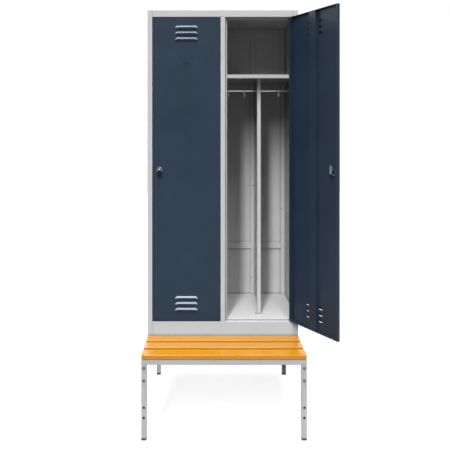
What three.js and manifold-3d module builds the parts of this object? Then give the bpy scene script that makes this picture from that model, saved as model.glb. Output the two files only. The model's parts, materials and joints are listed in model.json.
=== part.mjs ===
// Steel locker cabinet for two people on a square-tube frame that carries a slatted bench in front.
// Sizes are in millimetres. X runs to the right, Y to the back and Z up. Inside the model X is zero at the
// middle of the cabinet, Y at the front of its uprights and Z at the floor. The exported group is moved so
// that its origin lies under the middle of the front left foot.

import * as THREE from 'three';
import { mergeVertices } from 'three/addons/utils/BufferGeometryUtils.js';
import Module from 'manifold-3d';

// Clearances and overruns
const seatGap = 0.3;
const runningGap = 0.1;
const cutOverrun = 2;

// Sheet metal of the cabinet
const sheet = 1;
const bendRadius = 0.8;
const bendSteps = 2;

// Cabinet
const cabinetWidth = 800;
const cabinetDepth = 500;
const cabinetHeight = 1750;
const uprightWidth = 25.5;
const postWidth = 25;
const topRailHeight = 36;
const plinthHeight = 98;
const stopDepth = 20;
const stopWidth = 9.5;
const topStopHeight = 10;
const floorStep = 8;
const sideRearFlange = 32;
const sideFlangeGroove = 8;
const topRearFlange = 21;
const floorFlange = 26;
const floorSideGap = 5;
const plinthFlange = 15;
const wallFrontFlange = 10;
const wallRearFlange = 20;

// Back wall strips and bands
const stiffenerWidth = 24;
const stiffenerDepth = 8;
const stiffenerFlange = 12;
const stiffenerTopDrop = 75;
const stiffenerOffset = -6;
const bandHeight = 36;
const bandFlange = 10;
const bandAboveFloor = 300;

// Hat shelf and partition
const shelfBelowTop = 339;
const shelfSetback = 25;
const shelfFrontHeight = 20;
const shelfFrontReturn = 12;
const shelfFlange = 15;
const partitionSetback = 100;
const partitionFrontWidth = 20;
const partitionReturn = 12;
const partitionRearFlange = 15;

// Coat rail and sliding hooks
const coatRailRadius = 4;
const coatRailDrop = 68;
const coatRailDepth = 245;
const coatRailChamfer = 0.8;
const hookWireRadius = 2.25;
const hookShankLength = 26;
const hookBendRadius = 8.5;
const hookTipRise = 7;
const hookTipRadius = 4;
const hookPlaces = [36, 128, 324];
const hookLoopStart = -30;
const hookSteps = 24;
const hookWireSides = 8;
const hookTipSides = 10;

// Doors, measured from the hinge edge and the outer face
const doorGap = 1.5;
const doorThickness = 16;
const doorReturn = 12;
const doorPivotInset = 8;
const doorPivotDepth = 5;
const leftDoorAngle = 0;
const rightDoorAngle = 121.5;
const doorVentRadius = 3;
const doorVentInset = 45;
const doorStiffenerWidth = 50;
const doorStiffenerFlange = 12;
const doorStiffenerClear = 0.6;

// Hinge pins
const pinRadius = 2.5;
const pinLength = 24;
const pinChamfer = 0.6;
const pinCollarRadius = 4.4;
const pinSides = 16;

// Louvres pressed out of the doors
const louvreCount = 3;
const louvrePitch = 31;
const louvreWidth = 120;
const louvreTopWidth = 101;
const louvreHeight = 17;
const louvreShoulder = 7;
const louvreDepth = 6.5;
const louvreSlope = 8;
const louvreEndSlope = 4;
const louvreTopMargin = 45;
const louvreBottomMargin = 54;

// Card holder: three lips pressed out of the door
const cardBelowTop = 243;
const cardLipDepth = 3;
const cardLipReach = 6;
const cardBottomWidth = 29;
const cardSideHeight = 17;
const cardSideRise = 26;
const cardSideSpread = 64;
const cardSlotClear = 1.5;

// Cam lock, measured from the outer face of the door
const lockInset = 37;
const lockAboveBottom = 805;
const lockFlangeRadius = 14;
const lockFlangeThickness = 3.2;
const lockFlangeChamfer = 1.3;
const lockBarrelRadius = 10.5;
const lockPlugRadius = 6;
const lockPlugProud = 1.1;
const lockPlugChamfer = 0.6;
const lockTailRadius = 4;
const lockHeadRadius = 6.5;
const lockHeadThickness = 2.5;
const lockShoulder = 0.5;
const lockSides = 24;
const nutAcross = 27;
const nutThickness = 5;
const camClearance = 1.2;
const camThickness = 2;
const camWidth = 18;
const camLength = 34;
const camSteps = 6;

// Key with a folding bow
const keyThickness = 2;
const keyBladeHeight = 8;
const keyBladeDepth = 14;
const keyNeckHeight = 6;
const keyPivotReach = 7;
const keyPinRadius = 0.9;
const keyEndSteps = 4;
const bowWidth = 21;
const bowHeight = 28;
const bowDrop = 8;
const bowThickness = 4;
const bowCorner = 6;
const bowTongueWidth = 9;
const bowNotchDrop = 4.4;
const bowHoleRadius = 2.6;
const bowHoleRise = 6;

// Bench frame of square tube
const tubeSize = 25;
const tubeWall = 1.5;
const tubeCorner = 2.5;
const tubeCornerSteps = 2;
const frameTop = 390;
const frameSetback = 2;
const legStubLength = 95;
const legHoleRadius = 4.5;
const legHoleHeights = [110, 159, 290, 350];
const holeSides = 12;
const footHeight = 12;
const footChamfer = 1.5;
const footPlugLength = 15;

// Slats of the bench
const slatCount = 3;
const slatWidth = 72;
const slatThickness = 24;
const slatSpacing = 23.5;
const slatRearGap = 2;
const slatCorner = 6;
const slatEdge = 3.5;
const slatEdgeSteps = 2;

// Places worked out from the sizes above
const halfWidth = cabinetWidth / 2;
const cabinetBottom = frameTop + seatGap;
const cabinetTop = frameTop + cabinetHeight;
const openingBottom = frameTop + plinthHeight;
const openingTop = cabinetTop - topRailHeight;
const floorTop = openingBottom + floorStep;
const sideInner = halfWidth - sheet - seatGap;
const uprightInner = halfWidth - uprightWidth;
const stopInner = uprightInner - stopWidth;
const stopBack = stopDepth + sheet;
const stopFront = stopDepth - bendRadius - seatGap;
const rearPlane = cabinetDepth - sheet - seatGap;
const sideTop = cabinetTop - sheet - seatGap;
const stiffenerFront = rearPlane - sheet - stiffenerDepth;
const fittingRear = stiffenerFront - seatGap;
const wallFace = sheet / 2 + seatGap;
const shelfTop = cabinetTop - shelfBelowTop;
const coatRailHeight = shelfTop - coatRailDrop;
const doorWidth = uprightInner - postWidth / 2 - 2 * doorGap;
const doorBottom = openingBottom + doorGap;
const doorHeight = openingTop - openingBottom - 2 * doorGap;
const lockFront = -seatGap - lockFlangeThickness;
const plugFront = lockFront - lockPlugProud;
const camFront = stopBack + camClearance;
const plugRear = camFront - seatGap;
const barrelRear = plugRear - lockShoulder;
const camRear = camFront + camThickness;
const keyPivot = plugFront - keyPivotReach;
const frameBottom = frameTop - tubeSize;
const legTop = frameBottom - seatGap;
const benchReach = slatRearGap + slatCount * slatWidth + (slatCount - 1) * slatSpacing;
const frameFront = frameSetback - benchReach;
const compartments = { left: -halfWidth, right: 0 };

const wasm = await Module();
wasm.setup();

// Turns a closed geometry into a solid: shared corners are merged, triangles without area are left out, and a
// skin that came out inside out is turned round.
function solidOf(geometry) {
  const bare = geometry.clone();
  for (const name of Object.keys(bare.attributes)) {
    if (name !== 'position') bare.deleteAttribute(name);
  }
  const merged = mergeVertices(bare);
  const places = merged.attributes.position;
  const corners = [];
  let volume = 0;
  for (let i = 0; i < merged.index.count; i += 3) {
    const [a, b, c] = [0, 1, 2].map((k) => merged.index.getX(i + k));
    if (a === b || b === c || c === a) continue;
    corners.push(a, b, c);
    const [pa, pb, pc] = [a, b, c].map((k) => new THREE.Vector3().fromBufferAttribute(places, k));
    volume += pa.dot(pb.cross(pc));
  }
  if (volume < 0) corners.reverse();
  return new wasm.Manifold(new wasm.Mesh({
    numProp: 3,
    vertProperties: new Float32Array(places.array),
    triVerts: new Uint32Array(corners),
  }));
}

function geometryOf(solid) {
  const mesh = solid.getMesh();
  const geometry = new THREE.BufferGeometry();
  geometry.setAttribute('position', new THREE.BufferAttribute(mesh.vertProperties, 3));
  geometry.setIndex(new THREE.BufferAttribute(mesh.triVerts, 1));
  geometry.computeVertexNormals();
  return geometry;
}

const join = (first, ...others) => others.reduce((sum, other) => sum.add(other), first);
const cut = (first, ...others) => others.reduce((rest, other) => rest.subtract(other), first);

// Profiles. A profile is a list of [u, v] pairs in millimetres, and angles are in degrees.

const quarterTurn = 90;
const halfTurn = 2 * quarterTurn;
const fullTurn = 2 * halfTurn;

// The outline of a folded sheet. The line gives the face, the sheet lies on its left and every fold is round.
function foldedSheet(line) {
  const face = [];
  const back = [];
  const normals = line.slice(1).map(([u, v], i) => {
    const [du, dv] = [u - line[i][0], v - line[i][1]];
    const length = Math.hypot(du, dv);
    return [-dv / length, du / length];
  });
  const end = ([u, v], [nu, nv]) => {
    face.push([u, v]);
    back.push([u + nu * sheet, v + nv * sheet]);
  };
  end(line[0], normals[0]);
  for (let i = 1; i < line.length - 1; i++) {
    const [[au, av], [bu, bv]] = [normals[i - 1], normals[i]];
    const turn = Math.sign(au * bv - av * bu);
    const radius = turn > 0 ? bendRadius + sheet : bendRadius;
    const reach = turn * radius / (1 + au * bu + av * bv);
    const centre = [line[i][0] + (au + bu) * reach, line[i][1] + (av + bv) * reach];
    for (let k = 0; k <= bendSteps; k++) {
      const angle = Math.atan2(av, au) + turn * k / bendSteps * Math.acos(au * bu + av * bv);
      const [nu, nv] = [Math.cos(angle), Math.sin(angle)];
      face.push([centre[0] - nu * turn * radius, centre[1] - nv * turn * radius]);
      const backRadius = turn * radius - sheet;
      back.push([centre[0] - nu * backRadius, centre[1] - nv * backRadius]);
    }
  }
  end(line[line.length - 1], normals[normals.length - 1]);
  return [...face, ...back.reverse()];
}

const rectangle = ([u0, u1], [v0, v1]) => [[u0, v0], [u1, v0], [u1, v1], [u0, v1]];

function roundedRectangle(width, height, radius, steps) {
  const corners = [[1, -1], [1, 1], [-1, 1], [-1, -1]];
  return corners.flatMap(([su, sv], i) => arc(
    [su * (width / 2 - radius), sv * (height / 2 - radius)],
    radius, (i - 1) * quarterTurn, i * quarterTurn, steps));
}

function arc([u, v], radius, from, to, steps) {
  return Array.from({ length: steps + 1 }, (_, k) => {
    const angle = THREE.MathUtils.degToRad(from + (to - from) * k / steps);
    return [u + radius * Math.cos(angle), v + radius * Math.sin(angle)];
  });
}

const circle = (centre, radius, sides) => arc(centre, radius, 0, fullTurn, sides).slice(1);
const mirrored = (profile) => profile.map(([u, v]) => [-u, v]);
const shifted = (profile, du, dv) => profile.map(([u, v]) => [u + du, v + dv]);

function shapeOf(profile, holes = []) {
  const points = (list) => list.map(([u, v]) => new THREE.Vector2(u, v));
  const shape = new THREE.Shape(points(profile));
  shape.holes = holes.map((hole) => new THREE.Path(points(hole)));
  return shape;
}

// Solids made by running a profile along an axis

const alongX = new THREE.Matrix4().makeBasis(
  new THREE.Vector3(0, 1, 0), new THREE.Vector3(0, 0, 1), new THREE.Vector3(1, 0, 0));
const alongY = new THREE.Matrix4().makeBasis(
  new THREE.Vector3(1, 0, 0), new THREE.Vector3(0, 0, 1), new THREE.Vector3(0, -1, 0));

function run(profile, length, holes) {
  return new THREE.ExtrudeGeometry(shapeOf(profile, holes), { depth: length, bevelEnabled: false });
}

const runX = (profile, [x0, x1], holes) => solidOf(
  run(profile, x1 - x0, holes).applyMatrix4(alongX).translate(x0, 0, 0));
const runY = (profile, [y0, y1], holes) => solidOf(
  run(profile, y1 - y0, holes).applyMatrix4(alongY).translate(0, y1, 0));
const runZ = (profile, [z0, z1], holes) => solidOf(run(profile, z1 - z0, holes).translate(0, 0, z0));
const block = (x, y, z) => runZ(rectangle(x, y), z);
const bothSides = (x, y, z) => [block(x, y, z), block([-x[1], -x[0]], y, z)];

// Skins a stack of convex rings of points. Seen from beyond the last ring, each ring runs counter-clockwise.
function loft(rings) {
  const count = rings[0].length;
  const places = rings.flat(2);
  const corners = [];
  for (let r = 0; r < rings.length - 1; r++) {
    for (let i = 0; i < count; i++) {
      const next = (i + 1) % count;
      const [a, b, c, d] = [r * count + i, r * count + next, (r + 1) * count + next, (r + 1) * count + i];
      corners.push(a, b, c, a, c, d);
    }
  }
  const last = (rings.length - 1) * count;
  for (let i = 1; i < count - 1; i++) {
    corners.push(0, i + 1, i, last, last + i, last + i + 1);
  }
  const geometry = new THREE.BufferGeometry();
  geometry.setAttribute('position', new THREE.Float32BufferAttribute(places, 3));
  geometry.setIndex(corners);
  return solidOf(geometry);
}

// Turns a profile of [radius, height] pairs about the Y axis
function turned(profile, sides) {
  return solidOf(new THREE.LatheGeometry(profile.map(([r, h]) => new THREE.Vector2(r, h)), sides));
}

// Turns a profile about the Z axis
function turnedUpright(profile, sides) {
  const points = profile.map(([r, h]) => new THREE.Vector2(r, h));
  return solidOf(new THREE.LatheGeometry(points, sides).rotateX(Math.PI / 2));
}

// Finishes

const finishes = {
  greyPaint: { color: 0xcfcecb, roughness: 0.5, metalness: 0.1 },
  doorPaint: { color: 0x3c4a58, roughness: 0.5, metalness: 0.1 },
  slatLacquer: { color: 0xf2a02a, roughness: 0.35, metalness: 0 },
  blackPlastic: { color: 0x1c1d1f, roughness: 0.6, metalness: 0 },
  chrome: { color: 0xd4d7da, roughness: 0.2, metalness: 1 },
  zinc: { color: 0xb4b8ba, roughness: 0.4, metalness: 0.9 },
};

function piece(parent, name, solid, finish) {
  const mesh = new THREE.Mesh(geometryOf(solid), new THREE.MeshStandardMaterial(finishes[finish]));
  mesh.name = name;
  parent.add(mesh);
}

// Cabinet body

const uprightSpan = [cabinetBottom, sideTop];

// The depth that a flat flange on the back panel takes up, and that of the raised flanges of the side panels
const behindFlanges = [rearPlane - sheet - seatGap, cabinetDepth];
const behindRaisedFlanges = [stiffenerFront - seatGap, cabinetDepth];

// The rear flange of a side panel stands as far in front of the back panel as the strips do
function sidePanelProfile() {
  return foldedSheet([
    [sideRearFlange - sheet - halfWidth, rearPlane],
    [sideRearFlange - sheet - halfWidth, stiffenerFront + sheet],
    [sideFlangeGroove - halfWidth, stiffenerFront + sheet],
    [sideFlangeGroove - halfWidth, rearPlane],
    [-halfWidth, rearPlane],
    [-halfWidth, 0],
    [-uprightInner, 0],
    [-uprightInner, stopDepth],
    [-stopInner, stopDepth],
  ]);
}

function pivotHole(side, z) {
  return runZ(circle([pivotX(side), doorPivotDepth], pinRadius + seatGap, pinSides), z);
}

function topPanel() {
  const profile = foldedSheet([
    [rearPlane, cabinetTop - topRearFlange],
    [rearPlane, cabinetTop],
    [0, cabinetTop],
    [0, openingTop],
    [stopDepth, openingTop],
    [stopDepth, openingTop - topStopHeight],
  ]);
  const under = [openingTop - topStopHeight - cutOverrun, sideTop + seatGap];
  const beyond = halfWidth + cutOverrun;
  const ledge = [openingTop - cutOverrun, openingTop + sheet + cutOverrun];
  return cut(
    runX(profile, [-halfWidth, halfWidth]),
    ...bothSides([uprightInner - seatGap, beyond], [-cutOverrun, stopBack + seatGap], under),
    ...bothSides([stopInner - seatGap, beyond], [stopFront, stopBack + seatGap], under),
    ...bothSides([halfWidth - sideRearFlange - seatGap, beyond], behindRaisedFlanges, under),
    pivotHole('left', ledge),
    pivotHole('right', ledge),
  );
}

function plinthFront() {
  const profile = foldedSheet([
    [stopFront, openingBottom - plinthFlange],
    [stopFront, openingBottom],
    [0, openingBottom],
    [0, cabinetBottom],
    [stopFront, cabinetBottom],
  ]);
  const ledge = [openingBottom - sheet - cutOverrun, openingBottom + cutOverrun];
  return cut(
    runX(profile, [seatGap - uprightInner, uprightInner - seatGap]),
    pivotHole('left', ledge),
    pivotHole('right', ledge),
  );
}

function floorPanel() {
  const profile = foldedSheet([
    [rearPlane, floorTop - floorFlange],
    [rearPlane, floorTop],
    [stopDepth + seatGap, floorTop],
    [stopDepth + seatGap, floorTop - floorFlange],
  ]);
  const through = [floorTop - floorFlange - cutOverrun, floorTop + cutOverrun];
  return cut(
    runX(profile, [floorSideGap - sideInner, sideInner - floorSideGap]),
    ...bothSides([stopInner - seatGap, halfWidth], [0, stopBack + seatGap], through),
    ...bothSides([halfWidth - sideRearFlange - seatGap, halfWidth], behindRaisedFlanges, through),
  );
}

function centrePost() {
  const profile = foldedSheet([
    [-postWidth / 2 - stopWidth, stopDepth],
    [-postWidth / 2, stopDepth],
    [-postWidth / 2, 0],
    [postWidth / 2, 0],
    [postWidth / 2, stopDepth],
    [postWidth / 2 + stopWidth, stopDepth],
  ]);
  const span = [openingBottom + seatGap, openingTop - seatGap];
  const across = [-postWidth, postWidth];
  const behind = [stopDepth - seatGap, stopBack + cutOverrun];
  return cut(
    runZ(profile, span),
    block(across, behind, [openingBottom, floorTop + seatGap]),
    block(across, behind, [openingTop - topStopHeight - seatGap, openingTop]),
  );
}

function middleWall() {
  const profile = foldedSheet([
    [wallRearFlange, rearPlane],
    [-sheet / 2, rearPlane],
    [-sheet / 2, sheet + seatGap],
    [wallFrontFlange, sheet + seatGap],
  ]);
  const across = [-wallRearFlange, wallRearFlange + cutOverrun];
  return cut(
    runZ(profile, [floorTop + seatGap, sideTop]),
    block(across, [0, stopBack + seatGap], [openingTop - topStopHeight - seatGap, cabinetTop]),
    block(across, behindFlanges, [cabinetTop - topRearFlange - seatGap, cabinetTop]),
  );
}

// Back wall

const bandMiddle = floorTop + bandAboveFloor;
const bandFront = stiffenerFront + sheet + seatGap;

// An upright hat profile. The level band passes behind its web, so its sides are cut away there.
function backStiffener(middle) {
  const foot = rearPlane - sheet;
  const half = stiffenerWidth / 2;
  const profile = shifted(foldedSheet([
    [-half - stiffenerFlange, foot],
    [-half, foot],
    [-half, stiffenerFront],
    [half, stiffenerFront],
    [half, foot],
    [half + stiffenerFlange, foot],
  ]), middle, 0);
  const bandHalf = bandHeight / 2 + bandFlange + seatGap;
  return cut(
    runZ(profile, [floorTop + seatGap, cabinetTop - stiffenerTopDrop]),
    block(
      [middle - stiffenerWidth, middle + stiffenerWidth], [stiffenerFront + sheet, cabinetDepth],
      [bandMiddle - bandHalf, bandMiddle + bandHalf]),
  );
}

function backBand(span) {
  const foot = rearPlane - sheet;
  const half = bandHeight / 2;
  const profile = shifted(foldedSheet([
    [foot, half + bandFlange],
    [foot, half],
    [bandFront, half],
    [bandFront, -half],
    [foot, -half],
    [foot, -half - bandFlange],
  ]), 0, bandMiddle);
  return runX(profile, span);
}

// Fittings inside a compartment, given the X of its left wall

const compartmentMiddle = (start) => start + halfWidth / 2;

// The faces of the fittings' two ends, clear of the side panel and the middle wall
const insideSpan = (side) => (side === 'left' ? [-sideInner, -wallFace] : [wallFace, sideInner]);

function hatShelf([x0, x1]) {
  const rear = fittingRear - sheet;
  const profile = foldedSheet([
    [rear, shelfTop + shelfFlange],
    [rear, shelfTop],
    [shelfSetback, shelfTop],
    [shelfSetback, shelfTop - shelfFrontHeight],
    [shelfSetback + shelfFrontReturn, shelfTop - shelfFrontHeight],
  ]);
  const ends = [[x0, x0 + sheet], [x1 - sheet, x1]].map((x) => block(
    x, [shelfSetback + sheet / 2, rear], [shelfTop - shelfFlange, shelfTop - sheet / 2]));
  return join(runX(profile, [x0, x1]), ...ends);
}

function partition(middle) {
  const left = middle - partitionFrontWidth / 2;
  const right = middle + partitionFrontWidth / 2;
  const rear = fittingRear - sheet;
  const profile = foldedSheet([
    [left, partitionSetback + partitionReturn],
    [left, partitionSetback],
    [right, partitionSetback],
    [right, rear],
    [right + partitionRearFlange, rear],
  ]);
  const railHole = circle([coatRailDepth, coatRailHeight], coatRailRadius + seatGap, pinSides);
  return cut(
    runZ(profile, [floorTop + seatGap, shelfTop - sheet - seatGap]),
    runX(railHole, [left - cutOverrun, right + cutOverrun]),
  );
}

function coatRail([x0, x1]) {
  const rod = turned([
    [0, x0],
    [coatRailRadius - coatRailChamfer, x0],
    [coatRailRadius, x0 + coatRailChamfer],
    [coatRailRadius, x1 - coatRailChamfer],
    [coatRailRadius - coatRailChamfer, x1],
    [0, x1],
  ], pinSides);
  return rod.transform(new THREE.Matrix4().makeBasis(
    new THREE.Vector3(0, -1, 0), new THREE.Vector3(1, 0, 0), new THREE.Vector3(0, 0, 1)).setPosition(
    0, coatRailDepth, coatRailHeight).elements);
}

// A wire hook that hangs over the rail: a loop over the top, a straight shank behind and a bend to the front
// that ends in a ball. The route is drawn in the plane of the hook, with its first axis to the front.
function coatHook() {
  const loopRadius = coatRailRadius + seatGap + hookWireRadius;
  const bendMiddle = -loopRadius + hookBendRadius;
  const tip = bendMiddle + hookBendRadius;
  const route = new THREE.Path();
  const start = THREE.MathUtils.degToRad(hookLoopStart);
  route.moveTo(loopRadius * Math.cos(start), loopRadius * Math.sin(start));
  route.absarc(0, 0, loopRadius, start, Math.PI, false);
  route.lineTo(-loopRadius, -hookShankLength);
  route.absarc(bendMiddle, -hookShankLength, hookBendRadius, Math.PI, 2 * Math.PI, false);
  route.lineTo(tip, hookTipRise - hookShankLength);
  const line = route.getSpacedPoints(hookSteps).map((p) => new THREE.Vector3(0, -p.x, p.y));
  const wire = new THREE.ExtrudeGeometry(shapeOf(circle([0, 0], hookWireRadius, hookWireSides)), {
    steps: hookSteps,
    extrudePath: new THREE.CatmullRomCurve3(line),
  });
  const ball = new THREE.SphereGeometry(hookTipRadius, hookTipSides, hookTipSides / 2);
  ball.translate(0, -tip, hookTipRise - hookShankLength);
  return join(solidOf(wire), solidOf(ball));
}

function cabinetBody(parent) {
  const side = sidePanelProfile();
  piece(parent, 'left_side_panel', runZ(side, uprightSpan), 'greyPaint');
  piece(parent, 'right_side_panel', runZ(mirrored(side), uprightSpan), 'greyPaint');
  piece(parent, 'top_panel', topPanel(), 'greyPaint');
  piece(parent, 'floor_panel', floorPanel(), 'greyPaint');
  piece(parent, 'plinth_front', plinthFront(), 'greyPaint');
  piece(parent, 'centre_post', centrePost(), 'greyPaint');
  piece(parent, 'middle_wall', middleWall(), 'greyPaint');
  const back = block(
    [-halfWidth, halfWidth], [cabinetDepth - sheet, cabinetDepth], [cabinetBottom, cabinetTop]);
  piece(parent, 'back_panel', back, 'greyPaint');
}

function compartmentFittings(parent, side) {
  const middle = compartmentMiddle(compartments[side]);
  const span = insideSpan(side);
  const bandReach = halfWidth - sideRearFlange - seatGap;
  const bandStart = wallRearFlange + seatGap;
  const bandSpan = side === 'left' ? [-bandReach, -bandStart] : [bandStart, bandReach];
  piece(parent, `${side}_back_stiffener`, backStiffener(middle + stiffenerOffset), 'greyPaint');
  piece(parent, `${side}_back_rail`, backBand(bandSpan), 'greyPaint');
  piece(parent, `${side}_hat_shelf`, hatShelf(span), 'greyPaint');
  piece(parent, `${side}_partition`, partition(middle), 'greyPaint');
  piece(parent, `${side}_coat_rail`, coatRail(span), 'zinc');
  hookPlaces.forEach((place, i) => {
    const hanger = new THREE.Group();
    hanger.position.set(compartments[side] + place, coatRailDepth, coatRailHeight);
    piece(hanger, `${side}_hook_${i + 1}`, coatHook(), 'zinc');
    parent.add(hanger);
  });
}

// Doors. Both hang on their right edge. A door is modelled shut, with X zero at its hinge edge, Y zero at its
// outer face and Z zero at its lower edge.

function pivotX(side) {
  const edge = side === 'left' ? -postWidth / 2 : uprightInner;
  return edge - doorGap - doorPivotInset;
}

// The six corners of a louvre's outline, drawn in by an inset
function louvreRing(y, inset, foot, bottomWidth, topWidth, shoulder, height) {
  const half = bottomWidth / 2 - inset;
  const topHalf = topWidth / 2 - inset;
  return [
    [-half, y, foot],
    [half, y, foot],
    [half, y, shoulder],
    [topHalf, y, height - inset],
    [-topHalf, y, height - inset],
    [-half, y, shoulder],
  ];
}

// One louvre, as the hood to add and the hollow to take away. It is open at its lower edge.
function louvre(x, z) {
  const rear = (y, inset, foot) => louvreRing(
    y, inset, foot, louvreWidth, louvreTopWidth, louvreShoulder, louvreHeight);
  const front = (y, inset, foot) => louvreRing(
    y, inset, foot, louvreWidth - 2 * louvreEndSlope, louvreTopWidth - 2 * louvreEndSlope,
    louvreShoulder - louvreEndSlope / 2, louvreHeight - louvreSlope);
  const place = (solid) => solid.translate([x, 0, z]);
  return {
    hood: place(loft([rear(sheet / 2, 0, 0), rear(0, 0, 0), front(-louvreDepth, 0, 0)])),
    hollow: place(join(
      loft([rear(0, sheet, -cutOverrun), front(sheet - louvreDepth, sheet, -cutOverrun)]),
      loft([rear(sheet + cutOverrun, sheet, 0), rear(-sheet / 2, sheet, 0)]),
    )),
  };
}

function doorLouvres() {
  const setHeight = (louvreCount - 1) * louvrePitch + louvreHeight;
  const starts = [louvreBottomMargin, doorHeight - louvreTopMargin - setHeight];
  return starts.flatMap((start) => Array.from(
    { length: louvreCount }, (_, i) => louvre(-doorWidth / 2, start + i * louvrePitch)));
}

// A lip bent out of the door, drawn as an L in the plane square to its edge and run along the edge
const lipProfile = [
  [0, sheet / 2],
  [sheet, sheet / 2],
  [sheet, -cardLipDepth + sheet],
  [cardLipReach, -cardLipDepth + sheet],
  [cardLipReach, -cardLipDepth],
  [0, -cardLipDepth],
];

function cardHolder() {
  const middle = -doorWidth / 2;
  const bottom = doorHeight - cardBelowTop;
  const slotReach = [sheet, cardLipReach + cardSlotClear];
  const through = [-sheet / 2, sheet + cutOverrun];
  const across = [middle - cardBottomWidth / 2, middle + cardBottomWidth / 2];
  const lips = [runX(lipProfile.map(([reach, y]) => [y, bottom + reach]), across)];
  const slots = [block(across, through, slotReach.map((reach) => bottom + reach))];
  const rise = [bottom + cardSideRise, bottom + cardSideRise + cardSideHeight];
  for (const hand of [-1, 1]) {
    const edge = middle + hand * cardSideSpread / 2;
    lips.push(runZ(lipProfile.map(([reach, y]) => [edge - hand * reach, y]), rise));
    const [near, far] = slotReach.map((reach) => edge - hand * reach);
    slots.push(block([Math.min(near, far), Math.max(near, far)], through, rise));
  }
  return { lips, slots };
}

function doorPan() {
  const line = [
    [doorReturn - doorWidth, doorThickness],
    [-doorWidth, doorThickness],
    [-doorWidth, 0],
    [0, 0],
    [0, doorThickness],
    [-doorReturn, doorThickness],
  ];
  const outline = foldedSheet(line);
  const facePoints = outline.slice(0, outline.length / 2);
  const lid = (z) => runZ(facePoints, z);
  const pan = join(
    runZ(outline, [0, doorHeight]),
    lid([0, sheet]),
    lid([doorHeight - sheet, doorHeight]),
  );
  const upright = [-cutOverrun, doorHeight + cutOverrun];
  const pivot = circle([-doorPivotInset, doorPivotDepth], pinRadius + runningGap, pinSides);
  const vent = circle([doorVentInset - doorWidth, doorThickness / 2], doorVentRadius, holeSides);
  const lockHole = circle([lockInset - doorWidth, lockAboveBottom], lockBarrelRadius + seatGap, lockSides);
  const louvres = doorLouvres();
  const card = cardHolder();
  return cut(
    join(pan, ...louvres.map((one) => one.hood), ...card.lips),
    ...louvres.map((one) => one.hollow),
    ...card.slots,
    runZ(pivot, upright),
    runZ(vent, upright),
    runY(lockHole, [-cutOverrun, sheet + cutOverrun]),
  );
}

function doorStiffener() {
  const middle = -doorWidth / 2;
  const half = doorStiffenerWidth / 2;
  const foot = sheet + seatGap + sheet;
  const crown = doorThickness - doorStiffenerClear;
  const profile = shifted(foldedSheet([
    [half + doorStiffenerFlange, foot],
    [half, foot],
    [half, crown],
    [-half, crown],
    [-half, foot],
    [-half - doorStiffenerFlange, foot],
  ]), middle, 0);
  return runZ(profile, [sheet + seatGap, doorHeight - sheet - seatGap]);
}

// A hinge pin, with Z zero at the middle of the gap that its collar fills
function hingePin() {
  const end = pinLength / 2;
  const collar = doorGap / 2 - seatGap;
  return turnedUpright([
    [0, -end],
    [pinRadius - pinChamfer, -end],
    [pinRadius, pinChamfer - end],
    [pinRadius, -collar],
    [pinCollarRadius, -collar],
    [pinCollarRadius, collar],
    [pinRadius, collar],
    [pinRadius, end - pinChamfer],
    [pinRadius - pinChamfer, end],
    [0, end],
  ], pinSides);
}

// Cam lock, with Y along its axis from the outer face to the inside

function lockBody() {
  const bore = lockPlugRadius + runningGap;
  return turned([
    [bore, lockFront],
    [lockFlangeRadius - lockFlangeChamfer, lockFront],
    [lockFlangeRadius, lockFront + lockFlangeChamfer],
    [lockFlangeRadius, -seatGap],
    [lockBarrelRadius, -seatGap],
    [lockBarrelRadius, barrelRear],
    [bore, barrelRear],
    [bore, lockFront],
  ], lockSides);
}

function lockNut() {
  const corners = circle([0, 0], nutAcross / Math.sqrt(3), 6);
  const bore = circle([0, 0], lockBarrelRadius + seatGap, lockSides);
  const seat = sheet + seatGap;
  return runY(corners, [seat, seat + nutThickness], [bore]);
}

function lockPlug() {
  const headFront = camRear + seatGap;
  const core = turned([
    [0, plugFront],
    [lockPlugRadius - lockPlugChamfer, plugFront],
    [lockPlugRadius, plugFront + lockPlugChamfer],
    [lockPlugRadius, plugRear],
    [lockTailRadius, plugRear],
    [lockTailRadius, headFront],
    [lockHeadRadius, headFront],
    [lockHeadRadius, headFront + lockHeadThickness - lockPlugChamfer],
    [lockHeadRadius - lockPlugChamfer, headFront + lockHeadThickness],
    [0, headFront + lockHeadThickness],
  ], lockSides);
  const slotHalf = keyThickness / 2 + seatGap;
  const slotRise = keyBladeHeight / 2 + seatGap;
  const slotEnd = plugFront + keyBladeDepth + seatGap;
  return cut(core, block([-slotHalf, slotHalf], [plugFront - cutOverrun, slotEnd], [-slotRise, slotRise]));
}

// A flat tongue that stands upright while the door can open
function lockCam() {
  const half = camWidth / 2;
  const outline = [
    ...arc([0, 0], half, halfTurn, fullTurn, camSteps),
    ...arc([0, camLength - half], half, 0, halfTurn, camSteps),
  ];
  const hole = circle([0, 0], lockTailRadius + seatGap, lockSides);
  return runY(outline, [camFront, camRear], [hole]);
}

function keyBlade() {
  const half = keyBladeHeight / 2;
  const neck = keyNeckHeight / 2;
  const rear = plugFront + keyBladeDepth;
  const shoulder = plugFront - cutOverrun / 2;
  const outline = [
    [rear - half / 2, -half],
    [rear, -half / 2],
    [rear, half / 2],
    [rear - half / 2, half],
    [shoulder, half],
    [shoulder, neck],
    ...arc([keyPivot, 0], neck, quarterTurn, quarterTurn + halfTurn, keyEndSteps),
    [shoulder, -neck],
    [shoulder, -half],
  ];
  const hole = circle([keyPivot, 0], keyPinRadius + runningGap, hookWireSides);
  return runX(outline, [-keyThickness / 2, keyThickness / 2], [hole]);
}

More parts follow.
